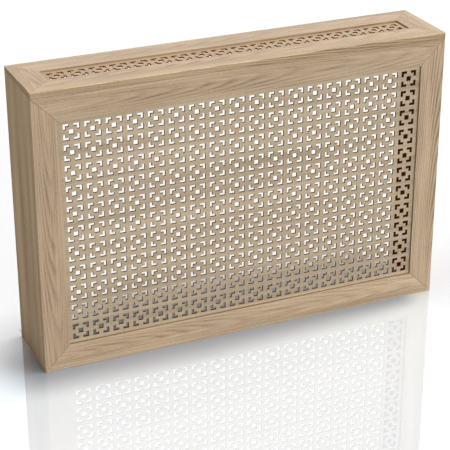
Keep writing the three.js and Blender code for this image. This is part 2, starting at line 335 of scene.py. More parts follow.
def ring_radius(nodes, place):
    """How far a place is from the pith, and how far to its side."""
    along, across = nodes.add("ShaderNodeSeparateXYZ", {0: place}).outputs[:2]
    drift = centred(nodes, nodes.noise(place, *DRIFT), PITH_SWING)
    wander = centred(nodes, shifted_noise(nodes, place, WANDER_OFFSET, WANDER), PITH_WANDER)
    tremble = centred(nodes, nodes.noise(place, *TREMBLE), RING_TREMBLE)
    depth = nodes.math("ADD", drift, nodes.math("MULTIPLY_ADD", along, PITH_DIVE, PITH_START))
    off_pith = nodes.math("ADD", across, wander)
    side = nodes.math("MAXIMUM", off_pith, nodes.math("MULTIPLY", off_pith, -PITH_FAR_SIDE))
    depth_square, side_square = (nodes.math("MULTIPLY", v, v) for v in (depth, side))
    distance = nodes.math("SQRT", nodes.math("ADD", depth_square, side_square))
    return nodes.math("ADD", distance, tremble), side


def ring_lines(nodes, place):
    """The dark lines of the rings, from 0 to 1, faded and broken here and there."""
    radius, side = ring_radius(nodes, place)
    ring = nodes.math("FRACT", nodes.math("DIVIDE", radius, RING_PITCH))
    line = nodes.ramp(ring, [(at, (dark, dark, dark)) for at, dark in RING_PROFILE])
    fade = nodes.ramp(shifted_noise(nodes, place, FADE_OFFSET, FADES), grey(FADE_SPAN))
    broken = nodes.ramp(nodes.noise(place, *BREAKS), grey(BREAK_SPAN))
    crown = nodes.between(side, 0.0, CROWN_WIDTH, CROWN_SHARE, smooth=False)
    line = nodes.math("MULTIPLY", line, nodes.math("MULTIPLY_ADD", fade, 1 - FADED, FADED))
    line = nodes.math("MULTIPLY", line, nodes.math("MULTIPLY_ADD", broken, 1 - BROKEN, BROKEN))
    return nodes.math("MULTIPLY", line, crown)


def grain_group():
    """Plain-sawn oak as a value from 0, dark, to 1, light. Growth rings run round a pith that lies
    some way below the face; where its depth changes along the board, the rings close to arches."""
    tree = bpy.data.node_groups.new("oak_grain", "ShaderNodeTree")
    for name, kind in (("Place", "Vector"), ("Figure", "Float"), ("Bands", "Float")):
        tree.interface.new_socket(name, in_out="INPUT", socket_type="NodeSocket" + kind)
    for name in ("Value", "Pores"):
        tree.interface.new_socket(name, in_out="OUTPUT", socket_type="NodeSocketFloat")
    nodes = Nodes(tree)
    place, figure, bands = tree.nodes.new("NodeGroupInput").outputs[:3]

    streaks = centred(nodes, nodes.noise(place, *STREAKS), STREAK_SWING)
    fibres = centred(nodes, nodes.noise(place, *FIBRES), FIBRE_SWING)
    tone = centred(nodes, shifted_noise(nodes, place, TONE_OFFSET, TONES), 1.0)
    pores = nodes.ramp(nodes.noise(place, *DASHES), grey(PORE_SPAN))

    darkening = nodes.math("MULTIPLY", figure, -1.0)
    value = nodes.math("MULTIPLY_ADD", ring_lines(nodes, place), darkening, GROUND_VALUE)
    value = nodes.math("MULTIPLY_ADD", tone, bands, value)
    value = nodes.math("ADD", value, streaks)
    value = nodes.math("ADD", value, fibres)
    value = nodes.math("MULTIPLY_ADD", pores, -PORE_DEPTH, value)
    output = tree.nodes.new("NodeGroupOutput")
    for socket, result in enumerate((value, pores)):
        tree.links.new(result, output.inputs[socket])
    return tree


GRAIN = grain_group()


def toned(shades, tone):
    """The shades, each made lighter or darker by the tone."""
    return [[tone * value for value in shade[:3]] for shade in shades]


def extent(node, axis):
    """How long a CAD node is along an axis."""
    low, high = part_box(node)
    return abs((high - low).dot(axis))


def reach(node, direction):
    """How far a CAD node reaches in a direction."""
    return max(corner.dot(direction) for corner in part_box(node))


def board_oak(node, along, across, start, centre, gloss, bands, part=1.0):
    """The oak of one board, from where it starts along its grain and its middle across it. part is
    how light this part of the board is written beside its face, as painted light or shade on an edge."""
    point, lie, shift, pith, tone, figure = GRAIN_OF[node]
    if point < 0:
        start = -(start + extent(node, along))
    offset = (shift - start, -(centre * lie) - pith, 0.0)
    shades = toned(OAK, tone * part)
    return oak("oak_" + node, along * point, across * lie, offset, shades, figure, bands, gloss)


def oak(name, along, across, offset, shades, figure, bands, gloss, foot=None):
    """Satin oak laminate with its grain along a direction. foot is the height of a panel's foot, if
    painted light and shade in its colour are to even out the floor's light."""
    material, nodes = new_material(name)
    place = wood_place(nodes, along, across, offset)
    inputs = {"Figure": figure, "Bands": bands, "Place": place}
    value, pores = nodes.add("ShaderNodeGroup", inputs, node_tree=GRAIN).outputs
    colour = nodes.ramp(value, list(zip(OAK_PLACES, shades)))
    if foot is not None:
        # painted light just above the foot, painted shade over the lower part
        colour = nodes.mix(1.0, colour, foot_painted_light_and_shade(nodes, foot), "MULTIPLY")
    roughness = nodes.math("MULTIPLY_ADD", value, OAK_ROUGHER, OAK_ROUGHNESS)
    relief = nodes.math("SUBTRACT", nodes.math("MULTIPLY", value, GRAIN_RELIEF), pores)
    surface(nodes, colour, roughness, relief, OAK_BUMP, Specular_IOR_Level=gloss)
    return material


def foot_painted_light_and_shade(nodes, foot):
    """Painted light and shade of a panel at each height above its foot: lighter just above it, a little
    darker over its lower part.
    """
    up = nodes.add("ShaderNodeSeparateXYZ", {0: nodes.object_place()}).outputs[2]
    height = nodes.math("SUBTRACT", up, foot)
    margin = nodes.between(height, 0.0, MARGIN_HEIGHT, MARGIN_PAINTED_LIGHT)
    low = nodes.between(height, 0.0, LOW_HEIGHT, LOW_PAINTED_SHADE)
    return nodes.math("MULTIPLY", margin, low)


def fibreboard(name, shades):
    """Bare pressed fibre: fine mottle with darker specks."""
    light, dark = shades
    material, nodes = new_material(name)
    place = nodes.object_place()
    mottle = nodes.noise(place, *FIBRE_MOTTLE)
    clouds = nodes.noise(place, *FIBRE_CLOUDS)
    specks = nodes.ramp(nodes.noise(place, *FIBRE_SPECKS), grey(SPECK_SPAN))
    ground = nodes.ramp(mottle, stops(SHADE_SPAN, dark, light))
    clouded = nodes.mix(nodes.math("MULTIPLY", clouds, CLOUD_SHARE), ground, dark)
    colour = nodes.mix(nodes.math("MULTIPLY", specks, SPECK_SHARE), clouded, dark)
    roughness = nodes.math("MULTIPLY_ADD", mottle, FIBRE_ROUGHER, FIBRE_ROUGHNESS)
    surface(nodes, colour, roughness, mottle, FIBRE_BUMP, Specular_IOR_Level=FIBRE_GLOSS)
    return material


def beech(name, shades):
    """Pressed beech with short flecks."""
    light, dark = shades
    material, nodes = new_material(name)
    flecks = nodes.noise(nodes.object_place(), *BEECH_FLECKS)
    colour = nodes.ramp(flecks, stops(FLECK_SPAN, dark, light))
    surface(nodes, colour, BEECH_ROUGHNESS, flecks, FIBRE_BUMP)
    return material


def plated(name, shades, roughness):
    """Zinc plating, faintly clouded and brushed."""
    light, dark = shades
    material, nodes = new_material(name)
    place = nodes.object_place()
    clouds = nodes.noise(place, *PLATE_CLOUDS)
    brush = nodes.noise(place, *PLATE_BRUSH)
    colour = nodes.ramp(clouds, stops(SHADE_SPAN, dark, light))
    rough = nodes.math("MULTIPLY_ADD", brush, PLATE_ROUGHER, roughness)
    surface(nodes, colour, rough, brush, PLATE_BUMP, Metallic=1.0)
    return material


CORE = fibreboard("cut_core", CORE_SHADES)
TOP_CUT_CORE = fibreboard("top_cut_core", TOP_CUT_SHADES)
# the front grille's cuts: the same core darkened, as painted shade
FRONT_CUT_PAINTED_SHADE = fibreboard("front_cut_painted_shade", FRONT_CUT_PAINTED_SHADE_TONES)
FIBRE = fibreboard("bare_fibreboard", FIBRE_SHADES)
BEECH = beech("pressed_beech", BEECH_SHADES)
ZINC = plated("zinc_plate", ZINC_SHADES, ZINC_ROUGHNESS)
STEEL = plated("screw_plate", STEEL_SHADES, STEEL_ROUGHNESS)


# ---------------------------------------------------------------- pieces

def finish_piece(name, mesh, materials, slot, *nodes):
    """Puts a mesh in the scene as the piece that stands for these CAD nodes."""
    for material in materials:
        mesh.materials.append(material)
    piece = bpy.data.objects.new(name, mesh)
    bpy.context.scene.collection.objects.link(piece)
    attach(piece, BODY)
    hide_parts(*nodes)
    return piece


def mesh_from(name, vertices, faces, face_materials):
    """A smooth-shaded mesh with sharp edges, its normals outwards."""
    mesh = bpy.data.meshes.new(name)
    mesh.from_pydata([tuple(v) for v in vertices], [], faces)
    for polygon, index in zip(mesh.polygons, face_materials):
        polygon.material_index = index
        polygon.use_smooth = True
    mesh.set_sharp_from_angle(angle=SHARP_ANGLE)
    mesh.validate()
    work = bmesh.new()
    work.from_mesh(mesh)
    bmesh.ops.recalc_face_normals(work, faces=work.faces)
    work.to_mesh(mesh)
    work.free()
    return mesh


def arc(centre, radius, start, end):
    """Points of an arc, from one angle to another in degrees."""
    step = (end - start) / ARC_STEPS
    angles = [math.radians(start + step * i) for i in range(ARC_STEPS + 1)]
    return [(centre[0] + radius * math.cos(t), centre[1] + radius * math.sin(t)) for t in angles]


def sweep(name, place, profile, tags, half_length, chamfer):
    """A closed profile swept between two ends. place(s, a, b) is a point s along, a across and b
    deep; half_length(a) says where the end lies, so that a mitre is a slanted end. chamfer pulls
    the end's face edge back a little. tags holds the material of each side of the profile; the ends
    have the second material."""
    count = len(profile)
    rings = []
    for sign in (-1, 1):
        end = [place(sign * half_length(a), a, max(b, chamfer)) for a, b in profile]
        full = [place(sign * (half_length(a) - chamfer), a, b) for a, b in profile]
        rings += [end, full] if sign < 0 else [full, end]
    vertices = [point for ring in rings for point in ring]
    faces, materials = [], []
    for ring in range(len(rings) - 1):
        this, following = ring * count, (ring + 1) * count
        for i in range(count):
            j = (i + 1) % count
            faces.append((this + i, this + j, following + j, following + i))
            materials.append(tags[i])
    faces.append(tuple(range(count)))
    faces.append(tuple(range(3 * count, 4 * count)))
    materials += [1, 1]
    return mesh_from(name, vertices, faces, materials)


def member_profile(face, thickness, recess, panel, arris):
    """Section of a frame member: a from its outer edge inwards, b from its face backwards.
    It returns the points, and for each side 0 for the face's laminate, 1 for cut core, 2, 3 and 4
    for the laminate of the outer edge, the inner edge and the arris, and 5 for the bare back."""
    groove_top = recess - GROOVE_PLAY
    groove_bottom = recess + panel + GROOVE_PLAY
    outer = arc((arris, arris), arris, 180, 270)
    inner = arc((face - INNER_ARRIS, INNER_ARRIS), INNER_ARRIS, 270, 360)
    groove = [(face, groove_top), (face - GROOVE_DEPTH, groove_top),
              (face - GROOVE_DEPTH, groove_bottom), (face, groove_bottom)]
    back = [(face, thickness - BACK_CHAMFER), (face - BACK_CHAMFER, thickness),
            (BACK_CHAMFER, thickness), (0.0, thickness - BACK_CHAMFER)]
    points = outer + inner + groove + back
    front_tags = [4] * (len(outer) - 1) + [0] * len(inner)
    groove_tags = [3] + [1] * len(groove)
    back_tags = [5] * (len(back) - 1) + [2]
    return points, front_tags + groove_tags + back_tags


def member(node, axis, inward, outward, face, mitre_run, recess, panel, arris, gloss, edges):
    """A mitred member of a frame. axis is along it, inward towards the panel, outward from its face.
    edges is how light its outer edge, inner edge and arris are written beside its face, as painted
    light and shade."""
    low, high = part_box(node)
    middle = (low + high) / 2
    thickness = extent(node, outward)
    face_middle = middle + outward * (thickness / 2)
    origin = face_middle - inward * (extent(node, inward) / 2)
    half = extent(node, axis) / 2
    def place(s, a, b):
        return origin + axis * s + inward * a - outward * b
    def half_length(a):
        return half - mitre_run * a / face
    points, tags = member_profile(face, thickness, recess, panel, arris)
    mesh = sweep(node + "_looks", place, points, tags, half_length, MITRE_CHAMFER)
    turn = inward - outward
    centre = face_middle.dot(turn)
    start = middle.dot(axis) - half
    face_oak = board_oak(node, axis, turn, start, centre, gloss, FRAME_BANDS)
    # lighter and darker copies of the face's oak: painted light and shade on the edges and arris
    painted_edge_oaks = [board_oak(node, axis, turn, start, centre, 0.0, FRAME_BANDS, part) for part in edges]
    return finish_piece(node + "_board", mesh, [face_oak, CORE, *painted_edge_oaks, FIBRE], "oak_frame", node)


def frame_members(group, across, outward, sides, arris, gloss, edges, sill):
    """The four mitred members of a frame whose long members run along X. group is the panel that
    they hold, and sill is how light the lower member's inner edge is written, as painted shade."""
    rail_low, rail_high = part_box(sides["bottom"])
    end_low, end_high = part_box(sides["left"])
    rail_face = (rail_high - rail_low).dot(across)
    end_face = (end_high - end_low).dot(X)
    panel_low, panel_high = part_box(group)
    panel = abs((panel_high - panel_low).dot(outward))
    face_level = max(rail_low.dot(outward), rail_high.dot(outward))
    recess = face_level - max(panel_low.dot(outward), panel_high.dot(outward))
    layout = {
        "bottom": (X, across, rail_face, end_face), "top": (X, -across, rail_face, end_face),
        "left": (across, X, end_face, rail_face), "right": (across, -X, end_face, rail_face),
    }
    outer, inner, rounded = edges
    for side, (axis, inward, face, run) in layout.items():
        # the lower member's inner edge takes the painted shade of the sill
        parts = (outer, sill if side == "bottom" else inner, rounded)
        member(sides[side], axis, inward, outward, face, run, recess, panel, arris, gloss, parts)


def motif_lines(centre):
    """Where the edges of one motif lie along one direction."""
    tip, core = MOTIF_SIZE / 2, MOTIF_CORE / 2
    steps = (tip, tip - MOTIF_SLOT, core, tip - MOTIF_ARM)
    return [centre + sign * step for step in steps for sign in (-1, 1)]


def in_hole(u, v):
    """Whether a place, measured from a motif's middle, is in one of its five holes."""
    u, v = abs(u), abs(v)
    tip, core = MOTIF_SIZE / 2, MOTIF_CORE / 2
    if max(u, v) < core:
        return True
    in_square = max(u, v) < tip and min(u, v) > tip - MOTIF_ARM
    return in_square and max(u, v) > tip - MOTIF_SLOT


def centres(opening):
    """The motifs' middles along an opening, as many as fit, centred in it."""
    count = max(1, math.floor(opening / MOTIF_PITCH))
    return [(i - (count - 1) / 2) * MOTIF_PITCH for i in range(count)]


def fretwork(node, across, outward, opening_u, opening_v, material, cut):
    """The panel with the whole motif in each place, on a lattice of the motifs' edge lines."""
    low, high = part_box(node)
    middle = (low + high) / 2
    half_u, half_v, half_thickness = (extent(node, axis) / 2 for axis in (X, across, outward))
    columns, rows = centres(opening_u), centres(opening_v)
    us = sorted([-half_u, half_u] + [line for c in columns for line in motif_lines(c)])
    vs = sorted([-half_v, half_v] + [line for c in rows for line in motif_lines(c)])

    def is_wood(i, j):
        if not (0 <= i < len(us) - 1 and 0 <= j < len(vs) - 1):
            return False
        u, v = (us[i] + us[i + 1]) / 2, (vs[j] + vs[j + 1]) / 2
        near_u = min(columns, key=lambda c: abs(c - u))
        near_v = min(rows, key=lambda c: abs(c - v))
        return not in_hole(u - near_u, v - near_v)

    index, vertices, faces, tags = {}, [], [], []

    def draft(i, j):
        """How far a rim's corner is drawn into its hole at the back."""
        left, right = [[not is_wood(i + side, j + row) for row in (-1, 0)] for side in (-1, 0)]
        towards_u = sum(right) - sum(left)
        towards_v = right[1] + left[1] - right[0] - left[0]
        inner = 0 < i < len(us) - 1 and 0 < j < len(vs) - 1
        return [CUT_DRAFT * ((t > 0) - (t < 0)) * inner for t in (towards_u, towards_v)]

    def corner(i, j, front):
        key = (i, j, front)
        if key not in index:
            index[key] = len(vertices)
            depth = half_thickness if front else -half_thickness
            du, dv = (0.0, 0.0) if front else draft(i, j)
            vertices.append(middle + X * (us[i] + du) + across * (vs[j] + dv) + outward * depth)
        return index[key]

    for i in range(len(us) - 1):
        for j in range(len(vs) - 1):
            if not is_wood(i, j):
                continue
            ring = [(i, j), (i + 1, j), (i + 1, j + 1), (i, j + 1)]
            faces.append([corner(*p, True) for p in ring])
            faces.append([corner(*p, False) for p in reversed(ring)])
            tags += [0, 2]
            beside = [(i, j - 1), (i + 1, j), (i, j + 1), (i - 1, j)]
            for k, cell in enumerate(beside):
                if not is_wood(*cell):
                    p, q = ring[k], ring[(k + 1) % 4]
                    edge = ((q, True), (p, True), (p, False), (q, False))
                    faces.append([corner(*point, front) for point, front in edge])
                    tags.append(1)
    mesh = mesh_from(node + "_looks", vertices, faces, tags)
    piece = finish_piece(node + "_panel", mesh, [material, cut, FIBRE], "oak_fretwork", node)
    bevel = piece.modifiers.new("softened rims", "BEVEL")
    bevel.width = CUT_EDGE
    bevel.segments = 1
    bevel.limit_method = "ANGLE"
    bevel.angle_limit = RIM_ANGLE
    return piece


def side_board(node, outward):
    """An upright board, laminated outside and bare fibreboard inside."""
    low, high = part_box(node)
    middle, size = (low + high) / 2, high - low
    depth, thickness = size.y, size.x
    def place(s, a, b):
        return middle + Z * s + Y * (a - depth / 2) + outward * (thickness / 2 - b)
    front = [(0.0, thickness - BACK_CHAMFER), (0.0, BACK_CHAMFER), (BACK_CHAMFER, 0.0)]
    rear = arc((depth - ARRIS, ARRIS), ARRIS, 270, 360)
    back = [(depth, thickness - BACK_CHAMFER), (depth - BACK_CHAMFER, thickness),
            (BACK_CHAMFER, thickness)]
    points = front + rear + back
    tags = [1, 0, 0] + [0] * len(rear) + [1] * len(back)
    mesh = sweep(node + "_looks", place, points, tags, lambda a: size.z / 2, BACK_CHAMFER)
    turn = Y - outward
    centre = (middle + outward * (thickness / 2)).dot(turn)
    material = board_oak(node, Z, turn, low.z, centre, 0.0, SIDE_BANDS)
    return finish_piece(node + "_panel", mesh, [material, FIBRE], "oak_side", node)


def boolean_cut(mesh, cutters):
    """A new mesh: the first one less the cutters."""
    body = bpy.data.objects.new("cut_body", mesh)
    bpy.context.scene.collection.objects.link(body)
    tools = []
    for cutter in cutters:
        tool = bpy.data.objects.new("cut_tool", cutter)
        bpy.context.scene.collection.objects.link(tool)
        tools.append(tool)
        modifier = body.modifiers.new("cut", "BOOLEAN")
        modifier.operation = "DIFFERENCE"
        modifier.solver = "EXACT"
        modifier.object = tool
    evaluated = body.evaluated_get(bpy.context.evaluated_depsgraph_get())
    result = bpy.data.meshes.new_from_object(evaluated)
    for item in [body, *tools]:
        bpy.data.objects.remove(item)
    result.set_sharp_from_angle(angle=SHARP_ANGLE)
    return result


def lathe(name, profile, axis=Z):
    """A closed turned shape. profile holds (radius, height) pairs from pole to pole."""
    vertices, faces, rings = [], [], []
    turn = Z.rotation_difference(axis).to_matrix()
    for radius, height in profile:
        if radius == 0:
            rings.append([len(vertices)])
            vertices.append(turn @ Vector((0, 0, height)))
            continue
        rings.append(list(range(len(vertices), len(vertices) + SCREW_SIDES)))
        for i in range(SCREW_SIDES):
            angle = 2 * math.pi * i / SCREW_SIDES
            point = Vector((radius * math.cos(angle), radius * math.sin(angle), height))
            vertices.append(turn @ point)
    for lower, upper in zip(rings, rings[1:]):
        for i in range(SCREW_SIDES):
            j = (i + 1) % SCREW_SIDES
            quad = [ring[k % len(ring)] for ring, k in ((lower, i), (lower, j), (upper, j), (upper, i))]
            faces.append(list(dict.fromkeys(quad)))
    return mesh_from(name, vertices, faces, [0] * len(faces))


def recess_bar(long_axis):
    """One bar of a screw's cross recess, long along this axis and tapered downwards."""
    work = bmesh.new()
    bmesh.ops.create_cube(work, size=1.0)
    size = [RECESS_WIDTH, RECESS_WIDTH, 2 * RECESS_DEPTH]
    size[long_axis] = 2 * RECESS_REACH
    for vertex in work.verts:
        taper = RECESS_TAPER if vertex.co.z < 0 else 1.0
        vertex.co.x *= size[0] * taper
        vertex.co.y *= size[1] * taper
        vertex.co.z *= size[2]
    bar = bpy.data.meshes.new("recess_bar")
    work.to_mesh(bar)
    work.free()
    return bar


def screw_mesh(length):
    """A countersunk screw, its head's flat at Z = 0, with a cross recess."""
    body = lathe("screw_body", [
        (0, -length),
        (SCREW_SHANK_RADIUS * SCREW_POINT_SHARE, SCREW_TIP_HEIGHT * SCREW_POINT_DOWN - length),
        (SCREW_SHANK_RADIUS, SCREW_TIP_HEIGHT - length), (SCREW_SHANK_RADIUS, -SCREW_HEAD_HEIGHT),
        (SCREW_HEAD_RADIUS, -SCREW_HEAD_RIM), (SCREW_HEAD_RADIUS, -SCREW_DOME / 2),
        (SCREW_HEAD_RADIUS - SCREW_DOME, 0), (0, 0),
    ])
    return boolean_cut(body, [recess_bar(long_axis) for long_axis in (0, 1)])


def bracket_mesh(leg, width, wall, holes):
    """A bent strip, one leg along X and one along Y, its heel at the origin, with countersunk holes."""
    outer = BEND_RADIUS + wall
    bend_outer = arc((outer, outer), outer, 270, 180)
    bend_inner = arc((outer, outer), BEND_RADIUS, 180, 270)
    outline = [(leg, 0.0), *bend_outer, (0.0, leg), (wall, leg), *bend_inner, (leg, wall)]
    count = len(outline)
    vertices = [Vector((x, y, z)) for z in (-width / 2, width / 2) for x, y in outline]
    faces = [(i, (i + 1) % count, count + (i + 1) % count, count + i) for i in range(count)]
    faces += [tuple(range(count)), tuple(range(count, 2 * count))]
    mesh = mesh_from("bracket_body", vertices, faces, [0] * len(faces))

    work = bmesh.new()
    work.from_mesh(mesh)
    def at_tip(edge):
        a, b = (v.co for v in edge.verts)
        across_wall = abs((a - b).length - wall) < AT_TIP
        return across_wall and all(max(p.x, p.y) > leg - AT_TIP for p in (a, b))
    tips = [edge for edge in work.edges if at_tip(edge)]
    bmesh.ops.bevel(work, geom=tips, offset=LEG_CORNER, segments=LEG_CORNER_STEPS, profile=0.5,
                    affect="EDGES")
    work.to_mesh(mesh)
    work.free()

    hole_radius = SCREW_SHANK_RADIUS + SHANK_PLAY
    sink_radius = SCREW_HEAD_RADIUS + SINK_PLAY
    sink = [(0, -2 * wall), (hole_radius, -2 * wall), (hole_radius, -wall),
            (sink_radius, 0), (sink_radius, wall), (0, wall)]
    cutters = []
    for hole, (axis, at) in enumerate(((Y, (holes, wall, 0)), (X, (wall, holes, 0)))):
        cutter = lathe(f"sink_{hole}", sink, axis)
        cutter.transform(Matrix.Translation(at))
        cutters.append(cutter)
    return boolean_cut(mesh, cutters)


def bracket_places():
    """Each bracket's CAD node, with the directions of its two legs."""
    places = {}
    for side, inward in (("left", X), ("right", -X)):
        for level, second_leg in (("lower", Y), ("upper", Y), ("top", -Z)):
            places[f"bracket_{side}_{level}"] = (inward, second_leg)
        places[f"bracket_rail_{side}"] = (Y, -Z)
    return places


def place_screw(node, screw, facing, slot_turn):
    """A screw at its CAD node, its head facing this way."""
    low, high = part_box(node)
    middle = (low + high) / 2
    top = middle + facing * (reach(node, facing) - middle.dot(facing))
    turn = Z.rotation_difference(facing).to_matrix().to_4x4()
    shape = screw.copy()
    shape.transform(Matrix.Translation(top) @ turn @ Matrix.Rotation(slot_turn, 4, "Z"))
    finish_piece(node + "_turned", shape, [STEEL], "screw_steel", node)


def hardware():
    """Brackets and their screws, each at its CAD node, with the first bracket's sizes."""
    first = "bracket_left_lower"
    low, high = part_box(first)
    leg, width = high.x - low.x, high.z - low.z
    screw_low, screw_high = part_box(first + "_screw_2")
    wall = screw_high.x - low.x
    hole = (screw_low.y + screw_high.y) / 2 - low.y
    bracket = bracket_mesh(leg, width, wall, hole)
    screw = screw_mesh(screw_high.x - screw_low.x)

    for name, (first_leg, second_leg) in bracket_places().items():
        low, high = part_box(name)
        heel = (low + high) / 2 - (first_leg + second_leg) * (leg / 2)
        basis = Matrix((first_leg, second_leg, first_leg.cross(second_leg))).transposed().to_4x4()
        shape = bracket.copy()
        shape.transform(Matrix.Translation(heel) @ basis)
        finish_piece(name + "_plate", shape, [ZINC], "zinc_bracket", name)
        for number, facing in ((1, second_leg), (2, first_leg)):
            node = f"{name}_screw_{number}"
            place_screw(node, screw, facing, SLOT_TURN * len(node) + number)


def build_cabinet():
    """Every piece of the cabinet, at its CAD node."""
    front = {"bottom": "front_bottom_rail", "top": "front_top_rail",
             "left": "front_left_stile", "right": "front_right_stile"}
    top = {"bottom": "top_front_rail", "top": "top_rear_rail",
           "left": "top_left_end", "right": "top_right_end"}
    frame_members("front_grille", Z, -Y, front, ARRIS, FRONT_GLOSS, FRONT_EDGE_PAINTED_SHADE, FRONT_SILL_PAINTED_SHADE)
    frame_members("top_grille", Y, Z, top, TOP_ARRIS, TOP_GLOSS, TOP_EDGE_PAINTED_LIGHT_AND_SHADE, TOP_SILL_PAINTED_SHADE)

    inner_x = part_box("front_right_stile")[0].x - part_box("front_left_stile")[1].x
    inner_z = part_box("front_top_rail")[0].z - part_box("front_bottom_rail")[1].z
    inner_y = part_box("top_rear_rail")[0].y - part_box("top_front_rail")[1].y
    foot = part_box("front_bottom_rail")[1].z
    # The front panel's colour carries painted light and shade by height above the rail
    front_oak = oak("oak_front_grille", X, Z, FRONT_PANEL_SHIFT, OAK_PANEL, PANEL_FIGURE, PANEL_BANDS,
                    PANEL_GLOSS, foot)
    top_oak = oak("oak_top_grille", X, Y, TOP_PANEL_SHIFT, OAK_TOP_PANEL, PANEL_FIGURE, PANEL_BANDS,
                  PANEL_GLOSS)
    fretwork("front_grille", Z, -Y, inner_x, inner_z, front_oak, FRONT_CUT_PAINTED_SHADE)
    fretwork("top_grille", Y, Z, inner_x, inner_y, top_oak, TOP_CUT_CORE)

    side_board("left_side_board", -X)
    side_board("right_side_board", X)
    hardware()
    for name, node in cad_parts.items():
        if "_biscuit_" in name:
            node.data.materials.clear()
            node.data.materials.append(BEECH)


# ---------------------------------------------------------------- setting

# The photograph's camera
CAMERA_PLACE = Vector((-1.1957, -2.7127, 1.6193))
CAMERA_TARGET = Vector((-0.0514, -0.0850, 0.2580))
CAMERA_ROLL = math.radians(-0.065)
SENSOR = 36.0
FOCAL_PIXELS, FRAME_PIXELS = 1539.8, 450.0

# Light, as the brightness that it gives a white card that faces it
AMBIENT = 0.29
OVERHEAD, OVERHEAD_FROM, OVERHEAD_SPREAD = 0.90, (0.20, -0.02, 1.0), 22
FRONT, FRONT_FROM, FRONT_SPREAD = 0.40, (0.12, -1.0, 0.37), 25

# The floor. What it shows of a white surrounding is cool, so its own colour is a little warm.
FLOOR_HALF = 12.0
FLOOR_COLOUR = (0.845, 0.82, 0.805, 1.0)
FLOOR_GLOSS = (0.90, 0.97, 1.0, 1.0)
FLOOR_MIRROR = 0.33
# In front it is cooler, against the oak's warm light and reflection, near the foot and beyond. That
# sets in along Y from FRONT_END to FRONT_START; near and far are in widths of the painted contact
# shadow below.
NEAR_COLOUR = (0.795, 0.83, 0.865, 1.0)
FAR_COLOUR = (0.862, 0.885, 0.915, 1.0)
NEAR_END, FAR_START = 0.8, 2.5
FRONT_END, FRONT_START = 0.05, -0.10
# A painted shadow close round the cabinet's foot deepens the contact shadow. Its width changes along X,
# and its depth is how much of the floor's colour is left at the foot. The two tints are its colour at
# full depth.
CONTACT_CENTRE = (-0.045, 0.010)
CONTACT_HALF = (0.405, 0.095)
CONTACT_WIDTH = (0.12, 0.065)
WIDTH_FROM, WIDTH_TO = -0.1, 0.45
CONTACT_DEPTH = 0.52
CONTACT_SHADOW_TINT = (0.012, 0.004, 0.0, 1.0)
FRONT_SHADOW_TINT = (0.0, 0.025, 0.09, 1.0)
# Beside the cabinet it fades from here towards the back
CONTACT_BACK = -0.045
# and so it does behind the left corner, which sets in along X and over this much along Y
CORNER_END, CORNER_START = -0.24, -0.36
CORNER_BACK = 0.03
# Within the cabinet the painted shadow is darker still, towards the left and the front
INNER_LEFT, INNER_RIGHT = -0.40, 0.30
INNER_BACK, INNER_END = 0.0, 0.195
INNER_DEPTH = 0.38
# To the right of the cabinet the floor has a faint painted shadow, round this place along Y
SIDE_PAINTED_SHADOW = (0.88, 0.88, 0.88, 1.0)
SIDE_FRONT_PAINTED_SHADOW = (0.865, 0.825, 0.80, 1.0)
SIDE_CENTRE, SIDE_REACH = -0.03, 0.26
SIDE_START, SIDE_FULL = 0.37, 0.45
WHITE = (1.0, 1.0, 1.0, 1.0)


def add_camera():
    """The photograph's view."""
    data = bpy.data.cameras.new("photo_camera")
    data.sensor_width = SENSOR
    data.lens = SENSOR * FOCAL_PIXELS / FRAME_PIXELS
    camera = bpy.data.objects.new("photo_camera", data)
    aim = (CAMERA_TARGET - CAMERA_PLACE).to_track_quat("-Z", "Y").to_matrix().to_4x4()
    camera.matrix_world = Matrix.Translation(CAMERA_PLACE) @ aim @ Matrix.Rotation(CAMERA_ROLL, 4, "Z")
    bpy.context.scene.collection.objects.link(camera)
    bpy.context.scene.camera = camera


def add_sun(name, from_direction, strength, angle):
    """A lamp far off, as wide as this angle in degrees."""
    data = bpy.data.lights.new(name, "SUN")
    data.energy = math.pi * strength
    data.angle = math.radians(angle)
    lamp = bpy.data.objects.new(name, data)
    lamp.matrix_world = Vector(from_direction).to_track_quat("Z", "Y").to_matrix().to_4x4()
    bpy.context.scene.collection.objects.link(lamp)


def add_lights():
    """Two lamps and a studio that looks white but lights less."""
    add_sun("overhead", OVERHEAD_FROM, OVERHEAD, OVERHEAD_SPREAD)
    add_sun("front", FRONT_FROM, FRONT, FRONT_SPREAD)
    world = bpy.data.worlds.new("studio")
    world.use_nodes = True
    world.node_tree.nodes.clear()
    nodes = Nodes(world.node_tree)
    path = nodes.add("ShaderNodeLightPath").outputs
    mirrored = nodes.math("MAXIMUM", path["Is Glossy Ray"], path["Is Transmission Ray"])
    seen = nodes.math("MAXIMUM", path["Is Camera Ray"], mirrored)
    strength = nodes.math("MULTIPLY_ADD", seen, 1.0 - AMBIENT, AMBIENT)
    background = nodes.add("ShaderNodeBackground", {"Color": WHITE, "Strength": strength})
    nodes.add("ShaderNodeOutputWorld", {"Surface": background.outputs[0]})
    bpy.context.scene.world = world


def beyond(nodes, value, centre, half):
    """How far a value lies outside a span, which is given by its middle and half its length."""
    away = nodes.math("ABSOLUTE", nodes.math("SUBTRACT", value, centre))
    return nodes.math("MAXIMUM", nodes.math("SUBTRACT", away, half), 0.0)


def left_of_cabinet(nodes, x, y):
    """1 to the left of the cabinet and behind its left corner, and 0 elsewhere."""
    outside, inside = (corner.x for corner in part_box("left_side_board"))
    back = CAD_BOX[1][1]
    behind = nodes.between(y, back, back + CORNER_BACK, smooth=False)
    at_corner = nodes.math("MULTIPLY", behind, nodes.between(x, CORNER_END, CORNER_START))
    return nodes.math("MAXIMUM", at_corner, nodes.between(x, inside, outside, smooth=False))


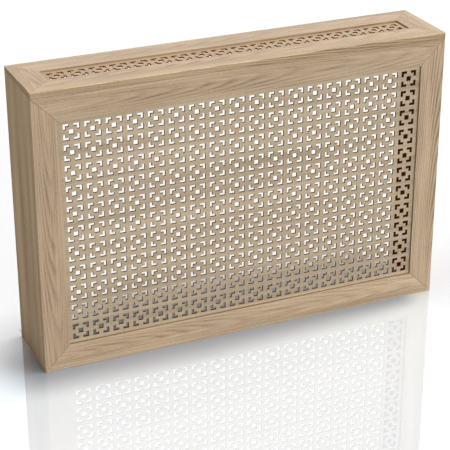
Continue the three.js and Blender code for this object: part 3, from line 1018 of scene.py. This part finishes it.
def foot_distance(nodes, x, y, aside):
    """How far a place is from the cabinet's foot, in widths of the painted contact shadow."""
    out_x, out_y = (beyond(nodes, v, c, h) for v, c, h in zip((x, y), CONTACT_CENTRE, CONTACT_HALF))
    past_back = nodes.math("MULTIPLY", aside, nodes.math("SUBTRACT", y, CONTACT_BACK))
    out_y = nodes.math("MAXIMUM", out_y, past_back)
    x_square, y_square = (nodes.math("MULTIPLY", v, v) for v in (out_x, out_y))
    width = nodes.between(x, WIDTH_FROM, WIDTH_TO, *CONTACT_WIDTH, smooth=False)
    return nodes.math("DIVIDE", nodes.math("SQRT", nodes.math("ADD", x_square, y_square)), width)


def inner_painted_shadow_share(nodes, x, y, aside):
    """How much of the floor's colour the painted shadow keeps within the cabinet: less to the left and
    in front.
    """
    ahead = nodes.math("LESS_THAN", y, CAD_BOX[0][1])
    leftward = nodes.between(x, INNER_LEFT, INNER_RIGHT, INNER_DEPTH, smooth=False)
    backward = nodes.between(y, INNER_BACK, INNER_END)
    outside = nodes.math("MAXIMUM", nodes.math("MAXIMUM", ahead, aside), backward)
    return nodes.math("MAXIMUM", leftward, outside)


def right_painted_shadow_share(nodes, x, y):
    """Where the painted shadow right of the cabinet lies: 1 there, fading towards the front, the back
    and the left.
    """
    along_side = nodes.between(beyond(nodes, y, SIDE_CENTRE, 0.0), 0.0, SIDE_REACH, 1.0, 0.0)
    return nodes.math("MULTIPLY", along_side, nodes.between(x, SIDE_START, SIDE_FULL))


def floor_material():
    """A matt floor with a share of mirror. Its painted contact shadow and the painted shadow at the
    right show to the camera alone, and leave the light that it throws up as it is."""
    material, nodes = new_material("floor_gloss")
    x, y = nodes.add("ShaderNodeSeparateXYZ", {0: nodes.object_place()}).outputs[:2]
    seen = nodes.add("ShaderNodeLightPath").outputs["Is Camera Ray"]
    aside = left_of_cabinet(nodes, x, y)
    distance = foot_distance(nodes, x, y, aside)
    painted_contact_shadow = nodes.between(distance, 0.0, 1.0, CONTACT_DEPTH)
    kept = nodes.math("MULTIPLY", painted_contact_shadow, inner_painted_shadow_share(nodes, x, y, aside))
    kept = nodes.math("MAXIMUM", kept, nodes.math("SUBTRACT", 1.0, seen))
    side = nodes.math("MULTIPLY", seen, right_painted_shadow_share(nodes, x, y))

    in_front = nodes.between(y, FRONT_END, FRONT_START)
    far = nodes.between(distance, NEAR_END, FAR_START, smooth=False)
    faint = nodes.mix(side, WHITE, nodes.mix(in_front, SIDE_PAINTED_SHADOW, SIDE_FRONT_PAINTED_SHADOW))
    colour = nodes.mix(in_front, FLOOR_COLOUR, nodes.mix(far, NEAR_COLOUR, FAR_COLOUR))
    painted_shadow_tint = nodes.mix(in_front, CONTACT_SHADOW_TINT, FRONT_SHADOW_TINT)
    matt_colour = nodes.mix(1.0, nodes.mix(kept, painted_shadow_tint, colour), faint, "MULTIPLY")
    gloss_colour = nodes.mix(1.0, nodes.mix(kept, painted_shadow_tint, FLOOR_GLOSS), faint, "MULTIPLY")
    matt = nodes.add("ShaderNodeBsdfDiffuse", {"Color": matt_colour})
    gloss = nodes.add("ShaderNodeBsdfGlossy", {"Color": gloss_colour, "Roughness": 0.0})
    shares = {0: FLOOR_MIRROR, 1: matt.outputs[0], 2: gloss.outputs[0]}
    shader = nodes.add("ShaderNodeMixShader", shares)
    nodes.add("ShaderNodeOutputMaterial", {"Surface": shader.outputs[0]})
    return material


def add_floor():
    """A wide floor, which is staging and no part of the cabinet."""
    mesh = bpy.data.meshes.new("floor")
    corners = [(x * FLOOR_HALF, y * FLOOR_HALF, 0) for x, y in ((-1, -1), (1, -1), (1, 1), (-1, 1))]
    mesh.from_pydata(corners, [], [(0, 1, 2, 3)])
    mesh.materials.append(floor_material())
    floor = bpy.data.objects.new("floor", mesh)
    bpy.context.scene.collection.objects.link(floor)


add_camera()
build_cabinet()
add_lights()
add_floor()
bpy.context.scene.view_settings.view_transform = "Standard"
